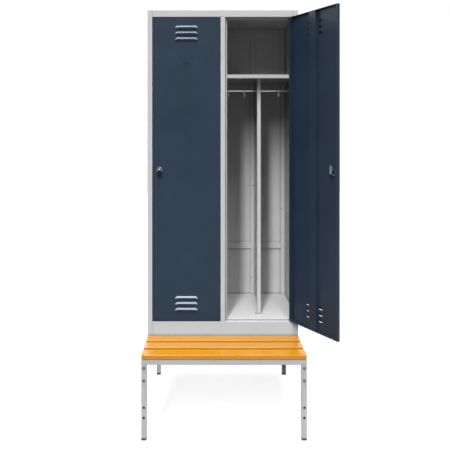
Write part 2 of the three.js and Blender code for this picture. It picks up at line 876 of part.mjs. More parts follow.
// The folding bow hangs by its narrow tongue from a pin, which passes through the neck of the key
function keyBow() {
  const half = bowTongueWidth / 2;
  const head = shifted(
    roundedRectangle(bowWidth, bowHeight, bowCorner, tubeCornerSteps), 0, -bowDrop - bowHeight / 2);
  const tongueFoot = -bowDrop - bowCorner;
  const tongue = [[half, tongueFoot], ...arc([0, 0], half, 0, halfTurn, camSteps), [-half, tongueFoot]];
  const ring = circle([0, bowHoleRise - bowDrop - bowHeight], bowHoleRadius, holeSides);
  const depth = [keyPivot - bowThickness / 2, keyPivot + bowThickness / 2];
  const notchHalf = keyThickness / 2 + runningGap;
  const notch = block([-notchHalf, notchHalf], [depth[0] - cutOverrun, depth[1] + cutOverrun],
    [-bowNotchDrop, half + cutOverrun]);
  const pinHalf = notchHalf + (half - notchHalf) / 2;
  const pin = runX(circle([keyPivot, 0], keyPinRadius, hookWireSides), [-pinHalf, pinHalf]);
  return join(cut(join(runY(head, depth, [ring]), runY(tongue, depth)), notch), pin);
}

function door(parent, side) {
  const hinge = new THREE.Group();
  hinge.position.set(pivotX(side), doorPivotDepth, doorBottom);
  hinge.rotation.z = THREE.MathUtils.degToRad(side === 'left' ? leftDoorAngle : rightDoorAngle);
  parent.add(hinge);
  const leaf = new THREE.Group();
  leaf.position.set(doorPivotInset, -doorPivotDepth, 0);
  hinge.add(leaf);
  piece(leaf, `${side}_door`, doorPan(), 'doorPaint');
  piece(leaf, `${side}_door_stiffener`, doorStiffener(), 'doorPaint');
  const lock = new THREE.Group();
  lock.position.set(lockInset - doorWidth, 0, lockAboveBottom);
  leaf.add(lock);
  piece(lock, `${side}_lock_body`, lockBody(), 'chrome');
  piece(lock, `${side}_lock_nut`, lockNut(), 'zinc');
  piece(lock, `${side}_lock_plug`, lockPlug(), 'chrome');
  piece(lock, `${side}_lock_cam`, lockCam(), 'zinc');
  piece(lock, `${side}_lock_key`, keyBlade(), 'zinc');
  piece(lock, `${side}_lock_key_bow`, keyBow(), 'blackPlastic');
  const pinHeights = { upper: openingTop - doorGap / 2, lower: openingBottom + doorGap / 2 };
  for (const [end, height] of Object.entries(pinHeights)) {
    const seat = new THREE.Group();
    seat.position.set(pivotX(side), doorPivotDepth, height);
    piece(seat, `${side}_door_${end}_pin`, hingePin(), 'zinc');
    parent.add(seat);
  }
}

// Bench frame

const tubeRing = (size) => roundedRectangle(size, size, tubeCorner, tubeCornerSteps);
const tubeBore = tubeSize - 2 * tubeWall;
const stubSize = tubeBore - 2 * seatGap;

function tubeHollow(size) {
  const bore = size - 2 * tubeWall;
  return roundedRectangle(bore, bore, tubeCorner / 2, tubeCornerSteps);
}

// The wedge that cuts a tube back to its mitre. The mitre runs from the frame's outer corner to its inner
// corner, and the wedge lies on the side that the given direction points to.
function mitreWedge(outer, inner, direction) {
  const diagonal = new THREE.Vector2().subVectors(inner, outer).normalize();
  const away = new THREE.Vector2(-diagonal.y, diagonal.x);
  if (away.dot(direction) < 0) away.negate();
  const at = (base, along, off) => {
    const point = base.clone().addScaledVector(diagonal, along).addScaledVector(away, off);
    return [point.x, point.y];
  };
  return runZ([
    at(outer, -tubeSize, -seatGap / 2),
    at(inner, tubeSize, -seatGap / 2),
    at(inner, 0, 2 * tubeSize),
    at(outer, 0, 2 * tubeSize),
  ], [frameBottom - cutOverrun, frameTop + cutOverrun]);
}

const frameRear = cabinetDepth;
const tubeMiddle = frameTop - tubeSize / 2;
const legX = halfWidth - tubeSize / 2;
const legY = { front: frameFront + tubeSize / 2, rear: frameRear - tubeSize / 2 };

// A level tube across the frame, mitred at both ends, with a stub below each end for the leg to slip over
function levelRail(end) {
  const outline = (size, ring) => shifted(ring(size), legY[end], tubeMiddle);
  const tube = runX(outline(tubeSize, tubeRing), [-halfWidth, halfWidth], [outline(tubeSize, tubeHollow)]);
  const inward = end === 'front' ? 1 : -1;
  const outerY = end === 'front' ? frameFront : frameRear;
  const wedges = [-1, 1].map((hand) => mitreWedge(
    new THREE.Vector2(hand * halfWidth, outerY),
    new THREE.Vector2(hand * (halfWidth - tubeSize), outerY + inward * tubeSize),
    new THREE.Vector2(hand, inward)));
  const stubs = [-legX, legX].map((x) => runZ(
    shifted(roundedRectangle(stubSize, stubSize, tubeCorner / 2, tubeCornerSteps), x, legY[end]),
    [frameBottom - legStubLength, frameBottom + tubeWall / 2],
    [shifted(tubeHollow(stubSize), x, legY[end])]));
  return join(cut(tube, ...wedges), ...stubs);
}

function sideRail(hand) {
  const centre = (ring) => shifted(ring, hand * legX, tubeMiddle);
  const tube = runY(centre(tubeRing(tubeSize)), [frameFront, frameRear], [centre(tubeHollow(tubeSize))]);
  const wedges = [[frameFront, 1], [frameRear, -1]].map(([outerY, inward]) => mitreWedge(
    new THREE.Vector2(hand * halfWidth, outerY),
    new THREE.Vector2(hand * (halfWidth - tubeSize), outerY + inward * tubeSize),
    new THREE.Vector2(-hand, -inward)));
  const stubSpace = Object.values(legY).map((y) => block(
    [hand * legX - tubeSize / 2 - cutOverrun, hand * legX + tubeSize / 2 + cutOverrun],
    [y - tubeBore / 2, y + tubeBore / 2],
    [frameBottom - cutOverrun, frameBottom + tubeWall + seatGap]));
  return cut(tube, ...wedges, ...stubSpace);
}

function crossRail() {
  const centre = (ring) => shifted(ring, tubeSize / 2, tubeMiddle);
  const reach = halfWidth - tubeSize - seatGap;
  return runX(centre(tubeRing(tubeSize)), [-reach, reach], [centre(tubeHollow(tubeSize))]);
}

// A leg is open at both ends. Its front wall has a row of holes for the bolts.
function leg(x, y) {
  const tube = runZ(shifted(tubeRing(tubeSize), x, y), [footHeight + seatGap, legTop],
    [shifted(tubeHollow(tubeSize), x, y)]);
  const front = [y - tubeSize / 2 - cutOverrun, y - tubeSize / 2 + tubeWall + tubeWall / 2];
  return cut(tube, ...legHoleHeights.map((z) => runY(circle([x, z], legHoleRadius, holeSides), front)));
}

function foot(x, y) {
  const ring = (z, size, corner) => roundedRectangle(size, size, corner, tubeCornerSteps)
    .map(([u, v]) => [u, v, z]);
  const inset = tubeSize - 2 * footChamfer;
  const base = loft([
    ring(0, inset, tubeCorner - footChamfer),
    ring(footChamfer, tubeSize, tubeCorner),
    ring(footHeight, tubeSize, tubeCorner),
  ]);
  const plug = loft([
    ring(footHeight / 2, stubSize, tubeCorner / 2),
    ring(footHeight + footPlugLength - footChamfer, stubSize, tubeCorner / 2),
    ring(footHeight + footPlugLength, stubSize - 2 * footChamfer, tubeCorner / 2),
  ]);
  return join(base, plug).translate([x, y, 0]);
}

// A slat with round corners and round edges
function slat(y) {
  const insets = Array.from({ length: slatEdgeSteps + 1 }, (_, k) => {
    const angle = k / slatEdgeSteps * Math.PI / 2;
    return { inset: slatEdge * (1 - Math.sin(angle)), rise: slatEdge * (1 - Math.cos(angle)) };
  });
  const ring = (z, inset) => roundedRectangle(
    cabinetWidth - 2 * inset, slatWidth - 2 * inset, slatCorner - inset, tubeCornerSteps)
    .map(([u, v]) => [u, v + y, z]);
  const bottom = frameTop + seatGap;
  const top = bottom + slatThickness;
  return loft([
    ...insets.map(({ inset, rise }) => ring(bottom + rise, inset)),
    ...insets.toReversed().map(({ inset, rise }) => ring(top - rise, inset)),
  ]);
}

function bench(parent) {
  piece(parent, 'front_frame_rail', levelRail('front'), 'greyPaint');
  piece(parent, 'rear_frame_rail', levelRail('rear'), 'greyPaint');
  piece(parent, 'left_frame_rail', sideRail(-1), 'greyPaint');
  piece(parent, 'right_frame_rail', sideRail(1), 'greyPaint');
  piece(parent, 'cross_frame_rail', crossRail(), 'greyPaint');
  for (const [end, y] of Object.entries(legY)) {
    for (const [side, x] of [['left', -legX], ['right', legX]]) {
      piece(parent, `${end}_${side}_leg`, leg(x, y), 'greyPaint');
      piece(parent, `${end}_${side}_foot`, foot(x, y), 'blackPlastic');
    }
  }
  const slatNames = ['rear_slat', 'middle_slat', 'front_slat'];
  slatNames.slice(0, slatCount).forEach((name, i) => {
    const y = -slatRearGap - slatWidth / 2 - i * (slatWidth + slatSpacing);
    piece(parent, name, slat(y), 'slatLacquer');
  });
}

const model = new THREE.Group();
cabinetBody(model);
compartmentFittings(model, 'left');
compartmentFittings(model, 'right');
door(model, 'left');
door(model, 'right');
bench(model);
model.position.set(legX, -legY.front, 0);

const locker = new THREE.Group();
locker.add(model);

export default locker;
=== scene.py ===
"""Looks for the locker with bench: powder-coated steel, lacquered slats, plated locks and small fasteners.

Lengths are in metres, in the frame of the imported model: X to the right, Y to the back and Z up.
"""

import json
import math

import bmesh
import bpy
from mathutils import Matrix, Vector

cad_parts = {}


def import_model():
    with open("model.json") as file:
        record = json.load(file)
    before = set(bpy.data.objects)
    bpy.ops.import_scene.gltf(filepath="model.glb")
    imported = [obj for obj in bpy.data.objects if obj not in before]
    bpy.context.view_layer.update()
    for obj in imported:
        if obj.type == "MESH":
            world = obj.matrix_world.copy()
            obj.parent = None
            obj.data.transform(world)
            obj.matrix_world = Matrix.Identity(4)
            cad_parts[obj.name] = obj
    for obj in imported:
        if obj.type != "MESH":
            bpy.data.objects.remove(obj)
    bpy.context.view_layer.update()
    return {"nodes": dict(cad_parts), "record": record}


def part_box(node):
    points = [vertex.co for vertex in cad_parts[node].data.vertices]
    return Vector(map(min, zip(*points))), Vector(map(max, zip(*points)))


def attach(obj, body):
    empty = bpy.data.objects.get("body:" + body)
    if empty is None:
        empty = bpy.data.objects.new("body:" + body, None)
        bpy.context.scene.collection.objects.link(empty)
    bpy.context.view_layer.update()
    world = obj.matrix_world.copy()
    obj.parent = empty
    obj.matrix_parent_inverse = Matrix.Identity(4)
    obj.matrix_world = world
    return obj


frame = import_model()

# Camera, from the middle of the cabinet's front at floor level. The two pixel values are the point of the
# picture that the camera faces squarely, in a picture of 450 by 450 pixels.
PICTURE_SIDE = 450
CAMERA_DISTANCE = 2.900
CAMERA_OFFSET = -0.060
CAMERA_HEIGHT = 1.453
FOCAL_PIXELS = 546.5
FACED_COLUMN = 211.6
FACED_ROW = 139.6
SENSOR_WIDTH = 36

# Lamps as (turn to the right, height above the horizon, width of the lamp, strength), angles in degrees
LAMPS = (
    (-13.6, 24, 5.5, 0.20),
    (-13.6, 29, 5.5, 0.22),
    (-13.6, 34, 5.5, 0.24),
    (-13.6, 39, 5.5, 0.42),
    (-13.6, 44, 5.5, 0.44),
    (-13.6, 49, 5.5, 0.48),
    (-13.6, 54, 5.5, 0.41),
    (-13.6, 59, 5.5, 0.31),
    (12, 52, 8, 0.34),
    (4, 64, 10, 0.50),
    (-4, 72, 16, 0.20),
    (-2, 86, 26, 2.30),
    (-125, 10, 20, 1.10),
    (125, 10, 20, 1.10),
    (180, 12, 20, 0.40),
)
GLINT_CEILING = 80
AMBIENT = 0.01
FLOOR_SIDE = 24
FLOOR_GREY = 0.3
FLOOR_BOUNCE = (0.12, 0.12, 0.12, 1)
FLOOR_GLOW = 0.85
SLAT_BOUNCE = (0.13, 0.14, 0.16, 1)
PAINT_BOUNCE = (0.38, 0.38, 0.38, 1)
DOOR_BOUNCE = (0.03, 0.04, 0.055, 1)

# Shading of the CAD nodes
WELD_DISTANCE = 1e-5
FLAT_ANGLE = 0.5
FOLD_ANGLE = 50
DOOR_FOLD_ANGLE = 35
LARGEST_FACE = 100

# Leg bolts, with their heights above the floor
BOLT_HEIGHTS = (0.290, 0.350)
BOLT_RADIUS = 0.0074
BOLT_RISE = 0.0042
BOLT_SOCKET = 0.0029
BOLT_SOCKET_DEPTH = 0.0024

# Plugs in the free holes of the legs
PLUG_HEIGHTS = (0.110, 0.159)
PLUG_STEM = 0.0042
PLUG_DEPTH = 0.0030
PLUG_HEAD = 0.0058
PLUG_RISE = 0.0010

# Screws of the cabinet
SCREW_RADIUS = 0.0034
SCREW_RISE = 0.0018
SCREW_RECESS = 0.0016
STRIP_DEPTH = 0.008
STRIP_CROWN = 0.024
STRIP_SCREWS = ((-0.018, 0.673), (0.004, 0.673), (-0.008, 0.104))
FLOOR_SCREW_REACH = 0.020
FLANGE_SCREW_HEIGHT = 0.528
FLANGE_SCREW_INSET = 0.028
SHEET = 0.001

# Heads and recesses, as shares of the sizes that they follow
BOLT_CROWN_SHARE = 1.25
SCREW_CROWN_SHARE = 1.1
PLUG_CROWN_SHARE = 0.8
CROSS_WAIST_SHARE = 1 / 3
CROSS_FOOT_SHARE = 1 / 2
CROSS_FOOT_WAIST_SHARE = 1 / 4
CROSS_FLOOR_SHARE = 1 / 3

# Tabs that hold the feet of the partitions
TAB_GAP = 0.0003
TAB_WIDTH = 0.016
TAB_RISE = 0.013
TAB_DEPTH = 0.020
TAB_BEND = 0.0018
TAB_EDGE = 0.0003
ROUND_SIDES = 24


# Places read from the frame

def middle(node):
    low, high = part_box(node)
    return (low + high) / 2


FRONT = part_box("left_side_panel")[0].y
CENTRE = middle("centre_post").x
FLOOR_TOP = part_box("floor_panel")[1].z


# Materials. A band holds the two values between which a share rises from 0 to 1. A scale counts the features of
# a noise in a metre.

EDGE_SAMPLES = 4
CORNER_SAMPLES = 6
CORNER_BAND = (0.5, 0.97)
SLOPE_FROM_UPRIGHT = (0.35, 0.6)
SLOPE_TO_LEVEL = (0.8, 0.9)

COAT_CLOUD_SCALE = 4
COAT_SPECK_SCALE = 520
COAT_SPECK_BAND = (0.5, 0.75)
COAT_SPECK_SHARE = 0.16
COAT_EDGE_BAND = (0.80, 0.99)
COAT_EDGE_SHARE = 0.35
COAT_SHEEN_SCALE = 9
COAT_PEEL_SCALE = 620
COAT_WAVE_SCALE = 150
COAT_WAVE_SHARE = 0.5

RING_STRETCH = (1.6, 26, 26)
STREAK_STRETCH = (9, 420, 420)
STREAK_BAND = (0.52, 0.74)
STREAK_SHARE = 0.22
BLOTCH_SCALE = 2.2
BLOTCH_SHARE = 0.25
SLAT_EDGE = 0.003
SLAT_EDGE_BAND = (0.75, 0.99)
SLAT_EDGE_SHARE = 0.1
GRAIN_DEPTH = 0.00004
RING_RELIEF_SHARE = 0.6

PLASTIC_CLOUD_SCALE = 40
PLASTIC_GRAIN_SCALE = 1400
PLASTIC_GRAIN_DEPTH = 0.00005
PLASTIC_EDGE = 0.0012
PLASTIC_EDGE_BAND = (0.8, 0.99)
PLASTIC_EDGE_SHARE = 0.4

PLATE_CLOUD_SCALE = 90
PLATE_MARK_STRETCH = (300, 2600, 300)
PLATE_MARK_SHARE = 0.5
PLATE_DULL_BAND = (0.4, 1.1)


class Surface:
    """A material in the making: a principled shader and short names for the nodes that feed it."""

    def __init__(self, name, **sockets):
        self.material = bpy.data.materials.new(name)
        self.material.use_nodes = True
        self.tree = self.material.node_tree
        self.shader = self.tree.nodes["Principled BSDF"]
        for socket, value in sockets.items():
            self.shader.inputs[socket.replace("_", " ")].default_value = value

    def node(self, kind, inputs=None, **settings):
        made = self.tree.nodes.new(kind)
        for key, value in settings.items():
            setattr(made, key, value)
        for key, value in (inputs or {}).items():
            if isinstance(value, bpy.types.NodeSocket):
                self.tree.links.new(value, made.inputs[key])
            else:
                made.inputs[key].default_value = value
        return made

    def feed(self, socket, value):
        self.tree.links.new(value, self.shader.inputs[socket])

    def place(self, stretch):
        coordinates = self.node("ShaderNodeTexCoord").outputs["Object"]
        return self.node("ShaderNodeMapping", {"Vector": coordinates, "Scale": stretch}).outputs["Vector"]

    def noise(self, scale, detail=2, distortion=0, stretch=(1, 1, 1), roughness=0.5):
        inputs = {
            "Vector": self.place(stretch), "Scale": scale, "Detail": detail,
            "Distortion": distortion, "Roughness": roughness,
        }
        return self.node("ShaderNodeTexNoise", inputs).outputs["Fac"]

    def span(self, value, low, high, start=0.3, end=0.7):
        inputs = {"Value": value, "From Min": start, "From Max": end, "To Min": low, "To Max": high}
        return self.node("ShaderNodeMapRange", inputs, interpolation_type="SMOOTHSTEP").outputs["Result"]

    def mix(self, share, first, second):
        inputs = {0: share, 6: first, 7: second}
        return self.node("ShaderNodeMix", inputs, data_type="RGBA").outputs[2]

    def add(self, first, second, share):
        return self.node("ShaderNodeMath", {0: second, 1: share, 2: first}, operation="MULTIPLY_ADD").outputs[0]

    def bump(self, height, distance):
        made = self.node("ShaderNodeBump", {"Height": height, "Distance": distance})
        self.feed("Normal", made.outputs["Normal"])

    def bounce(self, colour, muted):
        """The colour, but a muted one for the light that it throws on other surfaces"""
        return self.mix(self.node("ShaderNodeLightPath").outputs["Is Diffuse Ray"], colour, muted)

    def edges(self, radius, start, end):
        """A share that rises to 1 at the outer edges of the metal"""
        soft = self.node("ShaderNodeBevel", {"Radius": radius}, samples=EDGE_SAMPLES).outputs["Normal"]
        true = self.node("ShaderNodeNewGeometry").outputs["Normal"]
        agreement = self.node("ShaderNodeVectorMath", {0: soft, 1: true}, operation="DOT_PRODUCT")
        return self.span(agreement.outputs["Value"], 1, 0, start, end)

    def corners(self, reach):
        """A share that rises to 1 deep in the inner corners of the metal"""
        clear = self.node("ShaderNodeAmbientOcclusion", {"Distance": reach}, samples=CORNER_SAMPLES)
        return self.span(clear.outputs["AO"], 1, 0, *CORNER_BAND)

    def slopes(self):
        """A share that is 1 on the slopes that look up, and 0 on upright and level faces"""
        normal = self.node("ShaderNodeNewGeometry").outputs["Normal"]
        rise = self.node("ShaderNodeSeparateXYZ", {0: normal}).outputs["Z"]
        parts = {0: self.span(rise, 0, 1, *SLOPE_FROM_UPRIGHT), 1: self.span(rise, 1, 0, *SLOPE_TO_LEVEL)}
        return self.node("ShaderNodeMath", parts, operation="MULTIPLY").outputs[0]


def linear(red, green, blue):
    """A colour written in the 0 to 255 values of a picture, as the shader reads it"""
    def one(value):
        share = value / 255
        return share / 12.92 if share <= 0.04045 else ((share + 0.055) / 1.055) ** 2.4
    return (one(red), one(green), one(blue), 1)


def powder_coat(name, shade, tint, thin_coat_and_highlight, muted, gloss, smooth, rough, edge, peel, corner_shade=0, slope_highlight=0):
    """Powder coat: a faint cloudiness, fine orange peel and a thinner, paler coat along the edges, which is partly
    a painted highlight on the folds.
    Painted shade darkens the inner corners, and a painted highlight lightens the slopes that look up."""
    paint = Surface(name, IOR=1.5, Specular_IOR_Level=gloss)
    cloud = paint.noise(COAT_CLOUD_SCALE, detail=4, distortion=0.4)
    speck = paint.noise(COAT_SPECK_SCALE, detail=2)
    colour = paint.mix(paint.span(cloud, 0, 1), shade, tint)
    colour = paint.mix(paint.span(speck, 0, COAT_SPECK_SHARE, *COAT_SPECK_BAND), colour, thin_coat_and_highlight)
    # Along the edges the colour turns paler: partly a thinner coat, partly a painted highlight on the rounded folds
    colour = paint.mix(paint.span(paint.edges(edge, *COAT_EDGE_BAND), 0, COAT_EDGE_SHARE, 0, 1), colour, thin_coat_and_highlight)
    if corner_shade:
        # Painted shade: the colour darkens towards a dark grey deep in the inner corners
        colour = paint.mix(paint.span(paint.corners(CORNER_REACH), 0, corner_shade, 0, 1), colour, CORNER_SHADE)
    if slope_highlight:
        # Painted highlight: the slopes that look up, such as the louvre tops, are lightened towards a pale
        # blue-white
        colour = paint.mix(paint.span(paint.slopes(), 0, slope_highlight, 0, 1), colour, SLOPE_HIGHLIGHT)
    paint.feed("Base Color", paint.bounce(colour, muted))
    paint.feed("Roughness", paint.span(paint.noise(COAT_SHEEN_SCALE, detail=5), smooth, rough))
    fine, wide = paint.noise(COAT_PEEL_SCALE, detail=1), paint.noise(COAT_WAVE_SCALE, detail=1)
    paint.bump(paint.add(fine, wide, COAT_WAVE_SHARE), peel)
    return paint.material


def slat_lacquer():
    """Yellow-orange lacquer that lets the grain show, under a glossy clear coat"""
    wood = Surface("slat_lacquer", IOR=1.5, Coat_Weight=1, Coat_Roughness=0.14, Coat_IOR=1.5,
                   Specular_IOR_Level=0)
    rings = wood.noise(1, detail=5, distortion=1.2, stretch=RING_STRETCH, roughness=0.6)
    streaks = wood.noise(1, detail=3, stretch=STREAK_STRETCH)
    blotch = wood.noise(BLOTCH_SCALE, detail=3)
    edges = wood.edges(SLAT_EDGE, *SLAT_EDGE_BAND)
    colour = wood.mix(wood.span(rings, 0, 1), linear(203, 138, 6), linear(197, 129, 4))
    colour = wood.mix(wood.span(streaks, 0, STREAK_SHARE, *STREAK_BAND), colour, linear(186, 108, 4))
    colour = wood.mix(wood.span(blotch, 0, BLOTCH_SHARE), colour, linear(213, 148, 14))
    colour = wood.mix(wood.span(edges, 0, SLAT_EDGE_SHARE, 0, 1), colour, linear(216, 158, 44))
    wood.feed("Base Color", wood.bounce(colour, SLAT_BOUNCE))
    wood.feed("Roughness", wood.span(streaks, 0.3, 0.42))
    wood.bump(wood.add(streaks, rings, RING_RELIEF_SHARE), GRAIN_DEPTH)
    return wood.material


def moulded_plastic(name, shade, tint, rubbed):
    """Moulded plastic with a fine spark-eroded grain and dull rubbed edges"""
    plastic = Surface(name, IOR=1.49, Specular_IOR_Level=0.15)
    cloud = plastic.noise(PLASTIC_CLOUD_SCALE, detail=4)
    grain = plastic.noise(PLASTIC_GRAIN_SCALE, detail=2)
    edges = plastic.edges(PLASTIC_EDGE, *PLASTIC_EDGE_BAND)
    colour = plastic.mix(plastic.span(cloud, 0, 1), shade, tint)
    colour = plastic.mix(plastic.span(edges, 0, PLASTIC_EDGE_SHARE, 0, 1), colour, rubbed)
    plastic.feed("Base Color", colour)
    plastic.feed("Roughness", plastic.span(grain, 0.45, 0.62))
    plastic.bump(grain, PLASTIC_GRAIN_DEPTH)
    return plastic.material


def plated_metal(name, shade, tint, smooth, rough, scratch):
    """Plated steel: a slightly cloudy plate with fine turning marks and dull spots"""
    metal = Surface(name, Metallic=1.0)
    cloud = metal.noise(PLATE_CLOUD_SCALE, detail=4, distortion=0.5)
    marks = metal.noise(1, detail=3, stretch=PLATE_MARK_STRETCH)
    metal.feed("Base Color", metal.mix(metal.span(cloud, 0, 1), shade, tint))
    wear = metal.add(cloud, marks, PLATE_MARK_SHARE)
    metal.feed("Roughness", metal.span(wear, smooth, rough, *PLATE_DULL_BAND))
    metal.bump(marks, scratch)
    return metal.material


# Colour of the painted shade in the inner corners
CORNER_SHADE = linear(72, 72, 74)
# Colour of the painted highlight on the slopes that look up
SLOPE_HIGHLIGHT = linear(184, 196, 212)
CORNER_REACH = 0.016
MATERIALS = {
    "grey_paint": powder_coat(
        "grey_paint", shade=linear(202, 202, 203), tint=linear(207, 207, 208), thin_coat_and_highlight=linear(228, 228, 228),
        muted=PAINT_BOUNCE, gloss=0.35, smooth=0.38, rough=0.5, edge=0.0024, peel=0.00003, corner_shade=0.48),
    "frame_paint": powder_coat(
        "frame_paint", shade=linear(188, 188, 189), tint=linear(193, 193, 194), thin_coat_and_highlight=linear(214, 214, 214),
        muted=PAINT_BOUNCE, gloss=0.35, smooth=0.38, rough=0.5, edge=0.0024, peel=0.00003, corner_shade=0.4),
    "door_paint": powder_coat(
        "door_paint", shade=linear(35, 51, 67), tint=linear(40, 56, 73), thin_coat_and_highlight=linear(76, 94, 111),
        muted=DOOR_BOUNCE, gloss=0.2, smooth=0.28, rough=0.36, edge=0.0016, peel=0.00004, slope_highlight=0.6),
    "slat_lacquer": slat_lacquer(),
    "black_plastic": moulded_plastic(
        "black_plastic", shade=linear(10, 11, 13), tint=linear(17, 18, 20), rubbed=linear(46, 47, 49)),
    "grey_plastic": moulded_plastic(
        "grey_plastic", shade=linear(84, 85, 87), tint=linear(94, 95, 97), rubbed=linear(120, 121, 123)),
    "lock_chrome": plated_metal(
        "lock_chrome", shade=linear(112, 115, 120), tint=linear(134, 137, 142),
        smooth=0.12, rough=0.24, scratch=0.000002),
    "zinc_plate": plated_metal(
        "zinc_plate", shade=linear(205, 208, 210), tint=linear(224, 226, 228),
        smooth=0.2, rough=0.34, scratch=0.000006),
    "bright_zinc": plated_metal(
        "bright_zinc", shade=linear(240, 241, 243), tint=linear(249, 250, 251),
        smooth=0.1, rough=0.2, scratch=0.000003),
    "dull_zinc": plated_metal(
        "dull_zinc", shade=linear(118, 124, 132), tint=linear(140, 146, 154),
        smooth=0.3, rough=0.45, scratch=0.000006),
    "dark_steel": plated_metal(
        "dark_steel", shade=linear(104, 106, 108), tint=linear(122, 124, 126),
        smooth=0.36, rough=0.5, scratch=0.000006),
}


# Nodes whose finish is a duller or brighter one than their slot's, by a part of their names
LOOKS = {
    "_frame_rail": "frame_paint",
    "_leg": "frame_paint",
    "_hat_shelf": "frame_paint",
    "_foot": "grey_plastic",
    "_lock_cam": "dull_zinc",
    "_lock_nut": "dull_zinc",
    "_pin": "dull_zinc",
    "_hook_": "bright_zinc",
}


def dress(node, slot):
    """Gives a CAD node its finish, and smooth shading across its round folds alone"""
    piece = frame["nodes"][node]
    look = next((look for part, look in LOOKS.items() if part in node), slot)
    piece.data.materials.clear()
    piece.data.materials.append(MATERIALS[look])
    with bpy.context.temp_override(object=piece, active_object=piece):
        bpy.ops.mesh.customdata_custom_splitnormals_clear()
    piece.data.shade_smooth()
    weld = piece.modifiers.new("weld", "WELD")
    weld.merge_threshold = WELD_DISTANCE
    flats = piece.modifiers.new("flats", "DECIMATE")
    flats.decimate_type = "DISSOLVE"
    flats.angle_limit = math.radians(FLAT_ANGLE)
    split = piece.modifiers.new("folds", "EDGE_SPLIT")
    split.split_angle = math.radians(DOOR_FOLD_ANGLE if slot == "door_paint" else FOLD_ANGLE)
    normals = piece.modifiers.new("normals", "WEIGHTED_NORMAL")
    normals.weight = LARGEST_FACE


for part in frame["record"]["subparts"]:
    dress(part["node"], part["material_slot"])


def made_of(mesh, name, slot):
    """A new piece of the object, made of a finished mesh"""
    data = bpy.data.meshes.new(name)
    mesh.to_mesh(data)
    mesh.free()
    data.shade_smooth()
    data.set_sharp_from_angle(angle=math.radians(FOLD_ANGLE))
    data.materials.append(MATERIALS[slot])
    piece = bpy.data.objects.new(name, data)
    bpy.context.scene.collection.objects.link(piece)
    return piece


# Fasteners. Each is turned about its own Z axis, from rings of [radius, height], where a radius may be a
# function of the angle.

def turned(name, rings, body, slot, place, facing):
    mesh = bmesh.new()
    angles = [2 * math.pi * i / ROUND_SIDES for i in range(ROUND_SIDES)]
    loops = []
    for radius, height in rings:
        reach = radius if callable(radius) else (lambda angle, r=radius: r)
        loops.append([
            mesh.verts.new((reach(a) * math.cos(a), reach(a) * math.sin(a), height)) for a in angles])
    for lower, upper in zip(loops, loops[1:]):
        for i in range(ROUND_SIDES):
            j = (i + 1) % ROUND_SIDES
            mesh.faces.new((lower[i], lower[j], upper[j], upper[i]))
    mesh.faces.new(list(reversed(loops[0])))
    mesh.faces.new(loops[-1])
    piece = made_of(mesh, name, slot)
    turn = Vector(facing).to_track_quat("Z", "Y").to_matrix().to_4x4()
    piece.matrix_world = Matrix.Translation(place) @ turn
    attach(piece, body)


def hexagon(across):
    sector = math.pi / 3
    return lambda angle: across / math.cos((angle + sector / 2) % sector - sector / 2)


def cross(reach, waist):
    return lambda angle: waist + (reach - waist) * max(0, math.cos(4 * angle)) ** 3


def dome(radius, rise, top, steps=3):
    """Rings up a low round head, from its foot to the radius where its recess starts"""
    rings = [(radius, 0)]
    for i in range(1, steps + 1):
        share = i / steps
        reach = radius + (top - radius) * share
        rings.append((reach, rise * math.sqrt(1 - (reach - top) ** 2 / (radius - top) ** 2 * (1 - share))))
    return rings


def leg_bolt(name, place, facing):
    rings = dome(BOLT_RADIUS, BOLT_RISE, BOLT_SOCKET * BOLT_CROWN_SHARE) + [
        (hexagon(BOLT_SOCKET), BOLT_RISE), (hexagon(BOLT_SOCKET), BOLT_RISE - BOLT_SOCKET_DEPTH)]
    turned(name, rings, "cabinet", "dark_steel", place, facing)


def screw(name, place, facing):
    foot = cross(SCREW_RECESS * CROSS_FOOT_SHARE, SCREW_RECESS * CROSS_FOOT_WAIST_SHARE)
    rings = dome(SCREW_RADIUS, SCREW_RISE, SCREW_RECESS * SCREW_CROWN_SHARE) + [
        (cross(SCREW_RECESS, SCREW_RECESS * CROSS_WAIST_SHARE), SCREW_RISE),
        (foot, SCREW_RISE * CROSS_FLOOR_SHARE)]
    turned(name, rings, "cabinet", "dark_steel", place, facing)


def plug(name, place, facing):
    """A plastic plug with a low round head"""
    head = dome(PLUG_HEAD, PLUG_RISE, PLUG_HEAD * PLUG_CROWN_SHARE)
    rings = [(PLUG_STEM, -PLUG_DEPTH), (PLUG_STEM, 0)] + head
    turned(name, rings, "cabinet", "black_plastic", place, facing)


def leg_fittings():
    """Bolts through the upper holes of each leg, and plugs in the holes that are free"""
    for leg in ("front_left_leg", "front_right_leg", "rear_left_leg", "rear_right_leg"):
        x, y = middle(leg).x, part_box(leg)[0].y
        for i, height in enumerate(BOLT_HEIGHTS):
            leg_bolt(f"{leg}_bolt_{i + 1}", Vector((x, y, height)), (0, -1, 0))
        for i, height in enumerate(PLUG_HEIGHTS):
            plug(f"{leg}_plug_{i + 1}", Vector((x, y, height)), (0, -1, 0))


def strip_screws(side):
    """Screws through the strip up the back wall, and one through its foot into the floor"""
    strip = middle(f"{side}_back_stiffener").x
    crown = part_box(f"{side}_back_stiffener")[0].y
    flange = crown + STRIP_DEPTH
    for i, (aside, height) in enumerate(STRIP_SCREWS):
        depth = flange if abs(aside) > STRIP_CROWN / 2 else crown
        screw(f"{side}_strip_screw_{i + 1}", (strip + aside, depth, FLOOR_TOP + height), (0, -1, 0))
    screw(f"{side}_floor_screw", (strip, crown - FLOOR_SCREW_REACH, FLOOR_TOP), (0, 0, 1))


def flange_screw():
    """The screw in the raised flange that the back wall is fixed to"""
    height = FLOOR_TOP + FLANGE_SCREW_HEIGHT
    raised = (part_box("right_side_panel")[1].x - FLANGE_SCREW_INSET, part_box("right_back_stiffener")[0].y, height)
    screw("side_flange_screw", raised, (0, -1, 0))


